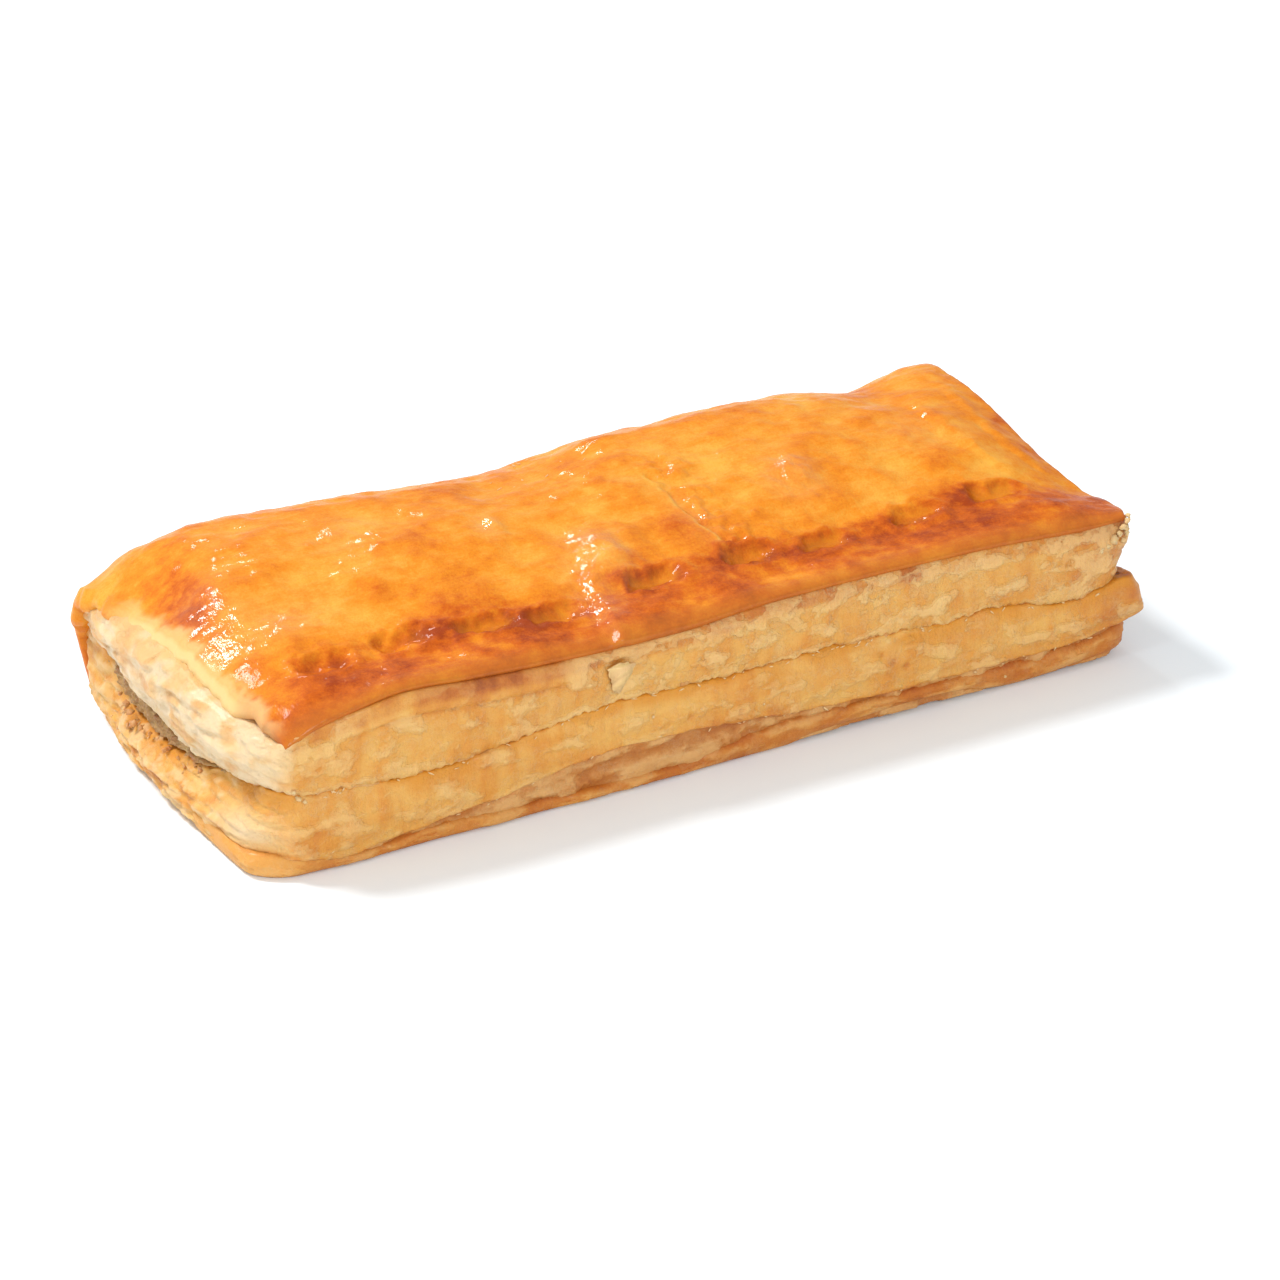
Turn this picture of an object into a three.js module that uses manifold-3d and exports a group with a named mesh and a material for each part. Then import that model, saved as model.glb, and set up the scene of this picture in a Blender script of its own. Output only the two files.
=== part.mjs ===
// A sausage roll: one sheet of puff pastry folded over a flat strip of seasoned meat.
// The fold runs along the back, the open long edge is pressed shut along the front with a
// row of slots, and both short ends are cut, so the meat runs through from end to end.
// Millimetres, +Z up, X along the roll, the pressed edge facing -Y.
// The origin is the centre of the roll's footprint, on the surface that it rests on.
//
// The baked pastry is four risen layers round a slightly recessed core. Each layer is a
// rounded box whose six sides are pulled onto smooth curves, and the layers, the core and
// the slots are joined and cut into one closed solid.

import * as THREE from 'three';
import { mergeVertices } from 'three/addons/utils/BufferGeometryUtils.js';
import Module from 'manifold-3d';

// Driving dimensions ---------------------------------------------------------------------

const HALF_LENGTH = 85; // half of the cut length of the roll
const HALF_WIDTH = 35.6; // half of the width, from the pressed front to the fold

const UPPER_SET = 0.2; // how far the upper layer's front lies behind the crust's
const UPPER_HOLD = 0.3; // how far the upper layer reaches up into the crust
const UPPER_FALL = 6; // greatest fall of the upper layer's top towards the back
const PILLOW_HEIGHT = 18; // height at which the upper layer's left end stands out furthest
const PILLOW_BEND = 0.03; // how fast that end draws in above and below that height
const UPPER_TIP = 24; // height of the upper layer's right tip
const UPPER_UNDERCUT = 0.22; // how fast the right end draws in below the tip
const LAYER_BACK = 29.6; // place of the back of both risen layers, inside the fold

const LOWER_SET = 0.1; // how far the lower layer's front lies behind the crust's
const LOWER_REST = 1.4; // least height of the lower layer's underside
const LOWER_TIP = 9; // height of the lower layer's right tip
const LOWER_DRAW = 0.3; // how fast the right end draws in above the tip
const WALL_START = 5; // height above which the lower layer's left end slopes in
const WALL_SLOPE = 0.12; // least slope of that end, in millimetres per millimetre
const WALL_LEAN = 0.4; // how much more it slopes in the middle, under the meat
const WALL_RISE = 7.5; // how far the back left corner stands up to the crust

const BASE_LEVEL = 4; // height of the base behind its front lip
const BASE_BACK = 31.2; // place of the base's back edge
const BASE_SHORT = 1.8; // how far the base stops short of the lower layer's right end

const CORE_SET = 1.4; // how far the core's front lies behind the layers
const CORE_REST = 0.8; // height of the core's underside
const CORE_SINK = 1.6; // how far the core's top lies under the crust's
const CORE_LEFT = 2.6; // how far the core lies behind the upper layer's left end
const CORE_RIGHT = 2.4; // and behind its right end
const CORE_BACK = 0.8; // and behind the fold

const FOLD_BACK = 36; // place of the fold's widest part at the back
const FOLD_HEIGHT = 16; // height of the widest part of the fold at the back
const FOLD_BEND = 0.018; // how fast the fold draws in above and below that height
const FILLING_GAP = 0.3; // clear space between the meat and the pastry round it

const SLOT_LENGTH = 9;
const SLOT_WIDTH = 3.2;
const SLOT_DEPTH = 1.1;
const SLOT_RISE = 6; // height of the cutting body above the slot's floor
const SLOT_FLARE = 0.6; // how much wider the slot's mouth is than its floor

// Centres of the nine slots, [x, y], pressed by hand, so a little out of line.
const SLOTS = [
  [-64.5, -22.9],
  [-50.1, -21.2],
  [-36.2, -23.0],
  [-24.1, -24.4],
  [-4.4, -22.4],
  [13.4, -22.1],
  [27.6, -23.2],
  [46.4, -21.6],
  [62.8, -20.6],
];

// One loose flake that stands up on the front face, as an outline [x, z].
const FLAKE_OUTLINE = [
  [-20.8, 24.8],
  [-16.2, 24.2],
  [-16.9, 20.2],
  [-18.8, 18.6],
  [-20.8, 20.3],
];
const FLAKE_THICKNESS = 0.9;
const FLAKE_STAND = 0.4; // how far the flake stands out from the front face

const PASTRY_COLOUR = 0xe39a4c;
const FILLING_COLOUR = 0x9a7650;

// Smooth curves --------------------------------------------------------------------------

/** A smooth height along a line through [place, height] knots, level beyond its ends. */
function curve(knots) {
  const last = knots.length - 1;
  const slope = (i) => {
    const before = knots[Math.max(0, i - 1)];
    const after = knots[Math.min(last, i + 1)];
    return (after[1] - before[1]) / (after[0] - before[0]);
  };
  return (place) => {
    if (place <= knots[0][0]) return knots[0][1];
    if (place >= knots[last][0]) return knots[last][1];
    const i = knots.findIndex(([at]) => at > place) - 1;
    const span = knots[i + 1][0] - knots[i][0];
    const t = (place - knots[i][0]) / span;
    const rise = t * t * (3 - 2 * t);
    const leave = t * (1 - t) * (1 - t) * span * slope(i);
    const arrive = t * t * (t - 1) * span * slope(i + 1);
    return knots[i][1] * (1 - rise) + knots[i + 1][1] * rise + leave + arrive;
  };
}

/** A round swelling of the given height, centred on x, y, with its reach along each axis. */
function swelling(x, y, reachX, reachY, height) {
  return (atX, atY) => height * Math.exp(-(((atX - x) / reachX) ** 2) - ((atY - y) / reachY) ** 2);
}

/** Rises from 0 at one place to 1 at the other, level beyond both. */
function ramp(from, to, at) {
  return THREE.MathUtils.smoothstep((at - from) / (to - from), 0, 1);
}

// Heights of the joints between the layers along the pressed front edge.
const lipTopAtFront = curve([[-77, 4.2], [-66, 2.2], [-50, 3.2], [-40, 2.6], [-8, 2.4], [6, 4.2],
  [18, 5.2], [35, 4.9], [60, 4.9], [75, 5.9], [84, 7.6]]);
const lowerUnderAtFront = curve([[-77, 4.7], [-66, 2.6], [-50, 3.8], [-38, 5.4], [-20, 8.2],
  [-2, 7.9], [15, 6.3], [35, 5.3], [60, 5.2], [75, 6.2], [84, 8.2]]);
const seamAtFront = curve([[-77, 15.2], [-66, 13.8], [-52, 13.2], [-37, 14.7], [-20, 17.0],
  [-3, 16.6], [25, 16.9], [45, 15.9], [56, 16.2], [70, 13.8], [80, 15.8]]);
const crustUnderAtFront = curve([[-77, 24.1], [-66, 26.2], [-57, 27.6], [-45, 26.8], [-30, 26.0],
  [-6, 25.8], [10, 27.0], [35, 27.1], [55, 26.7], [70, 25.7], [80, 26.0]]);

// How far each joint lies above or below its front height, going back across the roll.
const crustUnderAcross = curve([[-35, 0], [-20, 0.8], [-7, 1.0], [10, -1.4], [24, -2.6],
  [28, -9], [31, -24.6]]);
const upperUnderAcross = curve([[-35, 0], [-20, -2.4], [-10, -3.0], [5, -2.5], [16, -1.5],
  [24, 0.2], [33, -1]]);
const lowerTopAcross = curve([[-35, 0.2], [-20, -2.6], [-10, -5.0], [5, -6.6], [15, -6.6],
  [24, -4.4], [30, -2.2], [34, -1.4]]);
const lowerUnderAcross = curve([[-35, 0], [-18, -2.4], [0, -3.0], [15, -2.4], [30, 0]]);

// The crown of the roll across its width, and its rise and fall along the length.
const crown = curve([[-35.6, 27.9], [-33.5, 28.9], [-29, 29.9], [-22.5, 30.1], [-14, 31.8],
  [-4, 33.6], [8, 34.4], [20, 33.9], [27, 32.1], [32, 29.0], [36, 24.5]]);
const crownSwells = [
  swelling(-62, 12, 16, 22, 1.0),
  swelling(-36, 2, 10, 12, 0.6),
  swelling(-12, 24, 14, 16, -2.4),
  swelling(30, 14, 26, 22, 1.3),
  swelling(62, 26, 8, 18, -2.6),
  swelling(73, 26, 6, 12, 0.5),
  swelling(4, -26, 5, 6, 0.6),
  swelling(-17, -28, 5, 6, -0.5),
];

// How far the crust droops at the cut ends, from the pressed edge to the fold.
const droopLeft = curve([[-36, 3.4], [-22, 4.6], [-6, 5.6], [10, 6.8], [26, 6.8], [36, 5]]);
const droopRight = curve([[-36, 0.6], [-26, 4.0], [-8, 5.6], [10, 3.4], [26, 1.4], [36, 0]]);
const DROOP_START = 66; // distance from the middle at which the crust begins to droop

function crustTop(x, y) {
  const swell = crownSwells.reduce((sum, at) => sum + at(x, y), 0);
  const atLeft = ramp(-DROOP_START, -HALF_LENGTH, x) ** 1.6;
  const atRight = ramp(DROOP_START, HALF_LENGTH, x);
  return crown(y) + swell - atLeft * droopLeft(y) - atRight * droopRight(y);
}

// Places of the cut ends, from the pressed edge to the fold, for each layer.
const crustLeft = curve([[-35, -77.6], [-16, -80], [5, -82], [20, -84.2], [33, -85]]);
const upperLeft = curve([[-35, -77], [-28, -79.8], [-15, -82.8], [0, -84], [20, -84], [34, -82.6]]);
const lowerLeft = curve([[-35, -77.8], [-27, -82.2], [-10, -84.8], [10, -85.2], [34, -84]]);
const baseLeft = curve([[-36, -81.2], [-30, -83.6], [-15, -84.6], [20, -84.8], [34, -83.4]]);
const crustRight = curve([[-35, 80.2], [-30, 81.8], [-24, 82], [-8, 79.4], [12, 78.4], [34, 79]]);
const upperRight = curve([[-35, 82.2], [-24, 80.4], [-8, 77.8], [12, 76.8], [34, 77.4]]);
const lowerRight = curve([[-35, 85.4], [-24, 84.4], [-6, 81], [12, 79.2], [34, 78.6]]);

// The lifted front edge of the base, in front of the flat face that the roll rests on.
const baseLift = curve([[14, 0], [24, 1.3], [44, 2.2], [56, 0.4], [66, 0.4], [76, 1.3], [86, 1.6]]);

// Risen layers ---------------------------------------------------------------------------

const ROUND_STEPS = 2; // rows of faces round each edge of a layer

/** Spreads an evenly divided -1..1 line: close rows in the rounded edge, wide ones between. */
function spread(at, rows, roundShare) {
  const start = 1 - (2 * ROUND_STEPS) / rows;
  const size = Math.abs(at);
  if (size < start) return (at / start) * (1 - roundShare);
  const turn = Math.tan((Math.PI / 4) * ((size - start) / (1 - start)));
  return Math.sign(at) * (1 - roundShare + roundShare * turn);
}

/**
 * A closed box with rounded edges, every point of which is placed by `place`, a function
 * of the point's three coordinates from -1 to 1.
 */
function roundedBlock({ rows, roundShares, place }) {
  const box = new THREE.BoxGeometry(2, 2, 2, ...rows);
  const at = box.attributes.position;
  const point = new THREE.Vector3();
  for (let i = 0; i < at.count; i += 1) {
    point.fromBufferAttribute(at, i);
    const inner = point.toArray().map((value, axis) => spread(value, rows[axis], roundShares[axis]));
    const outward = inner.map((value, axis) => {
      const past = Math.abs(value) - (1 - roundShares[axis]);
      return Math.max(0, past) / roundShares[axis];
    });
    const length = Math.hypot(...outward);
    const rounded = inner.map((value, axis) => {
      const flat = Math.min(Math.abs(value), 1 - roundShares[axis]);
      return Math.sign(value) * (flat + (roundShares[axis] * outward[axis]) / Math.max(length, 1));
    });
    at.setXYZ(i, ...place(...rounded));
  }
  return box;
}

/** A risen layer between two heights, with its four sides on the given curves. */
function layer({ top, under, left, right, front, back, rows, roundShares }) {
  const place = (u, v, w) => {
    const nearX = u * HALF_LENGTH;
    const nearY = v * HALF_WIDTH;
    const share = (w + 1) / 2;
    const nearZ = THREE.MathUtils.lerp(under(nearX, nearY), top(nearX, nearY), share);
    const x = THREE.MathUtils.lerp(left(nearY, nearZ), right(nearY, nearZ), (u + 1) / 2);
    const y = THREE.MathUtils.lerp(front(nearX, nearZ), back(nearX, nearZ), (v + 1) / 2);
    const z = THREE.MathUtils.lerp(under(x, y), top(x, y), share);
    return [x, y, z];
  };
  return roundedBlock({ rows, roundShares, place });
}

const upperUnder = (x, y) => seamAtFront(x) + upperUnderAcross(y);
const backLeft = (x, y) => WALL_RISE * ramp(16, 28, y) * ramp(-77, -81, x);
const lowerTop = (x, y) => seamAtFront(x) + lowerTopAcross(y) + backLeft(x, y);
const lowerUnder = (x, y) => Math.max(LOWER_REST, lowerUnderAtFront(x) + lowerUnderAcross(y));
const wallSlope = (y) => WALL_SLOPE + WALL_LEAN * ramp(-31, -24, y) * ramp(31, 20, y);
const foldBack = (z) => FOLD_BACK - FOLD_BEND * (z - FOLD_HEIGHT) ** 2;

/** The glazed crust, which also turns down round the fold at the back. */
function crustLayer() {
  return layer({
    top: crustTop,
    under: (x, y) => crustUnderAtFront(x) + crustUnderAcross(y),
    left: (y) => crustLeft(y),
    right: (y) => crustRight(y),
    front: () => -HALF_WIDTH,
    back: (x, z) => foldBack(z),
    rows: [44, 20, 4],
    roundShares: [0.02, 0.045, 0.9],
  });
}

/** The flaky layer between the crust and the seam, puffed out like a pillow at the left end. */
function upperLayer() {
  return layer({
    top: (x, y) => crustUnderAtFront(x) + Math.max(crustUnderAcross(y), -UPPER_FALL) + UPPER_HOLD,
    under: upperUnder,
    left: (y, z) => upperLeft(y) + PILLOW_BEND * (z - PILLOW_HEIGHT) ** 2,
    right: (y, z) => upperRight(y) - UPPER_UNDERCUT * Math.max(0, UPPER_TIP - z),
    front: () => -HALF_WIDTH + UPPER_SET,
    back: () => LAYER_BACK,
    rows: [38, 16, 5],
    roundShares: [0.016, 0.03, 0.2],
  });
}

/** The flaky layer below the seam, which dips under the meat. */
function lowerLayer() {
  return layer({
    top: lowerTop,
    under: lowerUnder,
    left: (y, z) => lowerLeft(y) + wallSlope(y) * Math.max(0, z - WALL_START),
    right: (y, z) => lowerRight(y) - LOWER_DRAW * Math.max(0, z - LOWER_TIP),
    front: () => -HALF_WIDTH + LOWER_SET,
    back: () => LAYER_BACK,
    rows: [38, 16, 5],
    roundShares: [0.016, 0.03, 0.2],
  });
}

/** The bottom crust with the rounded lip that stands out under the layers. */
function baseLayer() {
  return layer({
    top: (x, y) => THREE.MathUtils.lerp(lipTopAtFront(x), BASE_LEVEL, ramp(-34, -22, y)),
    under: (x, y) => baseLift(x) * ramp(-29, -35, y),
    left: (y) => baseLeft(y),
    right: (y) => lowerRight(y) - BASE_SHORT,
    front: () => -HALF_WIDTH,
    back: () => BASE_BACK,
    rows: [36, 12, 4],
    roundShares: [0.035, 0.07, 0.8],
  });
}

/** The recessed pastry between and behind the layers. */
function coreLayer() {
  return layer({
    top: (x, y) => crustTop(x, y) - CORE_SINK,
    under: () => CORE_REST,
    left: (y) => upperLeft(y) + CORE_LEFT,
    right: (y) => upperRight(y) - CORE_RIGHT,
    front: () => -HALF_WIDTH + CORE_SET,
    back: (x, z) => foldBack(z) - CORE_BACK,
    rows: [24, 10, 5],
    roundShares: [0.02, 0.04, 0.2],
  });
}

// Meat -----------------------------------------------------------------------------------

const MEAT_FRONT = -18;
const MEAT_BACK = 31;
const MEAT_SEAM = 15.2; // height of the front seam that the straight strip is set to
const MEAT_TOP_GAP = 0.6; // space between the meat and the layer over it, at its middle
const MEAT_FLOOR_GAP = 0.4; // and between the meat and the layer under it
const MEAT_THINNING = 0.85; // how far the strip thins towards its long edges
const MEAT_LEFT_SET = 2.2; // how far the meat lies behind the upper layer's left end
const MEAT_RIGHT_SET = 2.6; // and behind its right end
const BORE_OVERRUN = 20; // how far the cutting body passes the meat's ends

/** The flat strip of meat, or with a gap and longer ends the bore that it lies in. */
function meatStrip({ gap, left, right, rows }) {
  const middle = (MEAT_FRONT + MEAT_BACK) / 2;
  const half = (MEAT_BACK - MEAT_FRONT) / 2 + gap;
  const place = (u, v, w) => {
    const y = middle + v * half;
    const x = THREE.MathUtils.lerp(left(y), right(y), (u + 1) / 2);
    const top = MEAT_SEAM + upperUnderAcross(y) - MEAT_TOP_GAP;
    const bottom = MEAT_SEAM + lowerTopAcross(y) + MEAT_FLOOR_GAP;
    const thickness = (top - bottom) * Math.sqrt(Math.max(0, 1 - MEAT_THINNING * v * v));
    return [x, y, (top + bottom) / 2 + w * (thickness / 2 + gap)];
  };
  return roundedBlock({ rows, roundShares: [0.01, 0.06, 0.6], place });
}

const MEAT_ROWS = [5, 16, 6];
const meatLeft = (y) => upperLeft(y) + MEAT_LEFT_SET;
const meatRight = (y) => upperRight(y) - MEAT_RIGHT_SET;

// Joining and cutting --------------------------------------------------------------------

const wasm = await Module();
wasm.setup();

function solidOf(geometry) {
  const bare = geometry.clone();
  bare.deleteAttribute('normal');
  bare.deleteAttribute('uv');
  const merged = mergeVertices(bare, 1e-4);
  return new wasm.Manifold(new wasm.Mesh({
    numProp: 3,
    vertProperties: merged.attributes.position.array,
    triVerts: new Uint32Array(merged.index.array),
  }));
}

function geometryOf(solid) {
  const mesh = solid.getMesh();
  const geometry = new THREE.BufferGeometry();
  geometry.setAttribute('position', new THREE.BufferAttribute(mesh.vertProperties, 3));
  geometry.setIndex(new THREE.BufferAttribute(mesh.triVerts, 1));
  return geometry;
}

/** The body that presses one slot: a long rounded outline, wider at its mouth. */
function slotCutter(x, y) {
  const end = (SLOT_LENGTH - SLOT_WIDTH) / 2;
  const outline = new THREE.Shape();
  outline.absarc(end, 0, SLOT_WIDTH / 2, -Math.PI / 2, Math.PI / 2);
  outline.absarc(-end, 0, SLOT_WIDTH / 2, Math.PI / 2, (3 * Math.PI) / 2);
  const cutter = new THREE.ExtrudeGeometry(outline, {
    depth: SLOT_RISE,
    curveSegments: 4,
    bevelThickness: SLOT_FLARE,
    bevelSize: SLOT_FLARE,
    bevelOffset: -SLOT_FLARE,
    bevelSegments: 1,
  });
  cutter.translate(x, y, crustTop(x, y) - SLOT_DEPTH + SLOT_FLARE);
  return cutter;
}

/** The loose flake, standing on the face of the upper layer. */
function frontFlake() {
  const outline = new THREE.Shape(FLAKE_OUTLINE.map(([x, z]) => new THREE.Vector2(x, z)));
  const flake = new THREE.ExtrudeGeometry(outline, { depth: FLAKE_THICKNESS, bevelEnabled: false });
  flake.rotateX(Math.PI / 2);
  return flake.translate(0, -HALF_WIDTH - FLAKE_STAND + FLAKE_THICKNESS, 0);
}

const layers = [
  crustLayer(),
  upperLayer(),
  lowerLayer(),
  baseLayer(),
  coreLayer(),
  frontFlake(),
];
const bore = meatStrip({
  gap: FILLING_GAP,
  left: (y) => meatLeft(y) - BORE_OVERRUN,
  right: (y) => meatRight(y) + BORE_OVERRUN,
  rows: MEAT_ROWS,
});
const pastrySolid = [bore, ...SLOTS.map(([x, y]) => slotCutter(x, y))]
  .map(solidOf)
  .reduce(
    (pastry, cutter) => pastry.subtract(cutter),
    layers.map(solidOf).reduce((pastry, part) => pastry.add(part)),
  );

// The scene graph ------------------------------------------------------------------------

function named(name, geometry, colour, roughness) {
  const material = new THREE.MeshStandardMaterial({ color: colour, roughness, metalness: 0 });
  const mesh = new THREE.Mesh(geometry, material);
  mesh.name = name;
  return mesh;
}

const sausageRoll = new THREE.Group();
sausageRoll.add(named('pastry', geometryOf(pastrySolid), PASTRY_COLOUR, 0.4));
sausageRoll.add(named(
  'filling',
  geometryOf(solidOf(meatStrip({ gap: 0, left: meatLeft, right: meatRight, rows: MEAT_ROWS }))),
  FILLING_COLOUR,
  0.7,
));

export default sausageRoll;
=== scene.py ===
import math

import bmesh
import bpy
import numpy as np
from mathutils import Matrix, Vector, noise


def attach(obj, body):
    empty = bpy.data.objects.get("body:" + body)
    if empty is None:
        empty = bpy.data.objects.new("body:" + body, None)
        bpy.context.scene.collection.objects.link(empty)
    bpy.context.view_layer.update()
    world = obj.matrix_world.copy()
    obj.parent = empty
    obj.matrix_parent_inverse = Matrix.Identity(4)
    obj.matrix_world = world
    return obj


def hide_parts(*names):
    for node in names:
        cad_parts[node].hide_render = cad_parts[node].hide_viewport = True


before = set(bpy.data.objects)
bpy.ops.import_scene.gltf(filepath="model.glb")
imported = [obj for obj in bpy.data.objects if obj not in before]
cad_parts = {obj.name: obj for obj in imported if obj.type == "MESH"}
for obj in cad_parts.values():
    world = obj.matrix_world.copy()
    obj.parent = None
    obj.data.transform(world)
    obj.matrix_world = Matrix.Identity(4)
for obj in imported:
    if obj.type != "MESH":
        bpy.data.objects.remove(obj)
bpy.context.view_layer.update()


# ----------------------------------------------
# Bottom crust. The underside of the folded sheet, baked flat on the tray. Its front edge
# stands out under the risen layers as a rounded golden lip, and lifts a little off the
# tray in two places. Sizes below are in millimetres, with X along the roll.

MM = 0.001
HALF_LENGTH = 85
HALF_WIDTH = 35.6
RIM_SEGMENTS = 1300


def curve(knots):
    """A smooth height along a line through (place, height) knots, level beyond its ends."""
    at, height = (np.array(column, float) for column in zip(*knots))
    slope = np.empty(len(at))
    slope[1:-1] = (height[2:] - height[:-2]) / (at[2:] - at[:-2])
    slope[0] = (height[1] - height[0]) / (at[1] - at[0])
    slope[-1] = (height[-1] - height[-2]) / (at[-1] - at[-2])

    def value(place):
        place = np.clip(place, at[0], at[-1])
        i = np.clip(np.searchsorted(at, place, side="right") - 1, 0, len(at) - 2)
        span = at[i + 1] - at[i]
        t = (place - at[i]) / span
        rise = t * t * (3 - 2 * t)
        leave = t * (1 - t) ** 2 * span * slope[i]
        arrive = t * t * (t - 1) * span * slope[i + 1]
        return height[i] * (1 - rise) + height[i + 1] * rise + leave + arrive

    return value


def ramp(start, end, at):
    """Rises from 0 at one place to 1 at the other, level beyond both."""
    t = np.clip((at - start) / (end - start), 0, 1)
    return t * t * (3 - 2 * t)


def mix(a, b, share):
    return a + (b - a) * share


def bump(distance, reach):
    """A round bump of height 1, from the distance to its centre and its reach."""
    return np.exp(-((distance / reach) ** 2))


def drift(points, size, seed, octaves=3):
    """Seeded noise of about -1 to 1 at points, with features of a size along each axis."""
    shift = Vector((seed * 17.3, seed * 5.1, seed * 9.7))
    scaled = np.asarray(points) / size
    return np.array([noise.fractal(Vector(p) + shift, 1, 2, octaves) for p in scaled])


def rim_point(turn, corner):
    """
    Place and outward direction on the roll's footprint, at 0 to 1 of the way round. The
    corner is rounded by one radius at the left end and by another at the right.
    """
    half = np.array([[HALF_LENGTH], [HALF_WIDTH]])
    corners = np.cumsum([0, *2 * half[[0, 1, 0, 1], 0]])
    signs = np.array([[-1, 1, 1, -1, -1], [-1, -1, 1, 1, -1]])
    at = np.array([np.interp(turn * corners[-1], corners, side) for side in half * signs])
    corner = np.where(at[0] < 0, *corner)
    past = np.maximum(np.abs(at) - (half - corner), 0) / corner
    out = np.sign(at) * past / np.hypot(*past)
    place = np.sign(at) * np.minimum(np.abs(at), half - corner) + corner * out
    return (*place, *out)


def side_rows(count, tuck, rounding, edge_share):
    """(inset, share of height) rows: tucked under, round the low edge, up, and tucked in."""
    tucked = [(tuck, 0), (0.5 * tuck, 0), (2 * rounding, 0)]
    turns = [math.pi / 2 * step / 4 for step in range(4)]
    low = [(rounding * (1 - math.sin(t)), edge_share * (1 - math.cos(t))) for t in turns]
    side = [(0, mix(edge_share, 0.5, step / count)) for step in range(count)]
    lower = tucked + low + side
    return lower + [(0, 0.5)] + [(inset, 1 - share) for inset, share in reversed(lower)]


def places_of(bm):
    return np.array([vert.co[:] for vert in bm.verts])


def turn_of(at):
    """How far round a circle each point lies, 0 to 1."""
    return (np.arctan2(at[:, 1], at[:, 0]) / (2 * math.pi)) % 1


def parts_of(grown, kind):
    return [part for part in grown if isinstance(part, kind)]


def raise_lids(bm, count):
    """Extrudes a flat face upwards step by step into a closed block with nothing inside."""
    lid = bm.faces[:]
    for step in range(count):
        grown = bmesh.ops.extrude_face_region(bm, geom=lid)["geom"]
        bmesh.ops.translate(bm, vec=(0, 0, 1), verts=parts_of(grown, bmesh.types.BMVert))
        if step > 0:
            bmesh.ops.delete(bm, geom=lid, context="FACES")
        lid = parts_of(grown, bmesh.types.BMFace)


def layer_mesh(rows, corner, left, right, front, back, under, top):
    """
    A closed layer of the roll: rings of points round its footprint, one for each row, with
    a wide face over the first and the last. Returns the bmesh, its points in millimetres,
    each point's outward direction, and each point's share of the layer's height.
    """
    bm = bmesh.new()
    bmesh.ops.create_circle(bm, cap_ends=True, segments=RIM_SEGMENTS, radius=1)
    raise_lids(bm, len(rows) - 1)
    at = places_of(bm)
    inset, share = np.array(rows)[np.rint(at[:, 2]).astype(int)].T
    x, y, out_x, out_y = rim_point(turn_of(at), corner)
    near_x, near_y = x - out_x * inset, y - out_y * inset
    near_z = mix(under(near_x, near_y), top(near_x, near_y), share)
    along, across = (near_x / HALF_LENGTH + 1) / 2, (near_y / HALF_WIDTH + 1) / 2
    x = mix(left(near_y, near_z), right(near_y, near_z), along)
    y = mix(front(near_x, near_z), back(near_x, near_z), across)
    z = mix(under(x, y), top(x, y), share)
    outward = np.stack([out_x, out_y, 0 * out_x], 1)
    return bm, np.stack([x, y, z], 1), outward, share


# The field values at which one more torn film begins, and how soon it reaches full height.
TORN_EDGES = (0.94, 1.2)
TORN_STEP = 0.035


def torn_films(points, size, seed, more=0):
    """
    Thin films of pastry that tore as they dried. Returns how thick they lie, 0 to 1 with a
    sharp step at each torn edge, and the field that the edges follow.
    """
    field = 1 + drift(points, size, seed, 4) + more
    laid = sum(ramp(edge, edge + TORN_STEP, field) for edge in TORN_EDGES) / len(TORN_EDGES)
    return laid, field


def add_object(name, data):
    made = bpy.data.objects.new(name, data)
    bpy.context.scene.collection.objects.link(made)
    return made


def finish_piece(name, bm, points, masks, material, node):
    """Writes the points and masks, makes the object, and ties it to the frame."""
    for vert, point in zip(bm.verts, points * MM):
        vert.co = point
    bmesh.ops.recalc_face_normals(bm, faces=bm.faces)
    if bm.calc_volume(signed=True) < 0:
        bmesh.ops.reverse_faces(bm, faces=bm.faces)
    mesh = bpy.data.meshes.new(name)
    bm.to_mesh(mesh)
    bm.free()
    for label, values in masks.items():
        layer = mesh.attributes.new(label, "FLOAT", "POINT")
        layer.data.foreach_set("value", np.asarray(values + np.zeros(len(points)), np.float32))
    mesh.shade_smooth()
    mesh.materials.append(material)
    piece = add_object(name, mesh)
    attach(piece, "root")
    if node:
        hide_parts(node)


# The lights are brighter than plain white needs, so colours are dimmed by this share.
COLOUR_DIM = 0.75


def tone(red, green, blue):
    """A colour given as 0 to 255, as it looks under the scene's lights, as a linear colour."""
    linear = [COLOUR_DIM * ((c / 255 + 0.055) / 1.055) ** 2.4 for c in (red, green, blue)]
    return (*linear, 1)


def new_material(name, settings):
    """A material, its tree and its shader, with the sockets set that are the same all over."""
    material = bpy.data.materials.new(name)
    material.use_nodes = True
    shader = material.node_tree.nodes["Principled BSDF"]
    for socket, value in settings.items():
        shader.inputs[socket].default_value = value
    return material, material.node_tree, shader


def add_node(tree, kind, inputs=None, **options):
    """Adds a shader node, sets its options, and links or sets its inputs."""
    made = tree.nodes.new("ShaderNode" + kind)
    for option, value in options.items():
        setattr(made, option, value)
    for socket, value in (inputs or {}).items():
        if isinstance(value, bpy.types.NodeSocket):
            tree.links.new(value, made.inputs[socket])
        else:
            made.inputs[socket].default_value = value
    return made


def mask(tree, name):
    """One of the piece's masks, by name. It is 0 where a piece has none."""
    return add_node(tree, "Attribute", attribute_name=name).outputs["Fac"]


def mixed(tree, share, low, high):
    """The colour between two colours, by a share that is a number or a socket."""
    return add_node(tree, "Mix", {0: share, 6: low, 7: high}, data_type="RGBA").outputs[2]


def calc(tree, operation, first, second):
    return add_node(tree, "Math", {0: first, 1: second}, operation=operation).outputs[0]


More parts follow.
